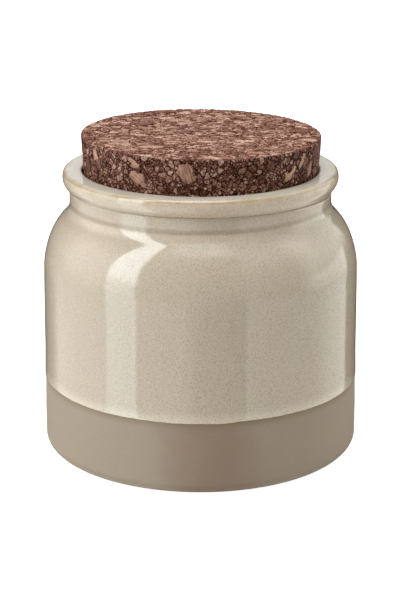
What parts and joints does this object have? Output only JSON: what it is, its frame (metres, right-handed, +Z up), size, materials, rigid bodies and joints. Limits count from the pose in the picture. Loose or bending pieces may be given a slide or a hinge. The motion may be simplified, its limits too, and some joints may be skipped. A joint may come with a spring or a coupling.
{
  "type": "lidded storage jar",
  "caption": "Round glazed stoneware storage jar with a bare clay foot, rolled rim and tapered cork stopper.",
  "frame": {"origin": "centre of the circle that the jar stands on", "axes": "+Z up along the jar's axis; +X to the right as seen from the front, +Y away from the viewer"},
  "size_m": [0.1042, 0.1042, 0.1053],
  "materials": {
    "glazed_stoneware": "gloss",
    "cork": "matte"
  },
  "bodies": {
    "root": {"jar": "glazed_stoneware", "cork_lid": "cork"}
  },
  "joints": []
}
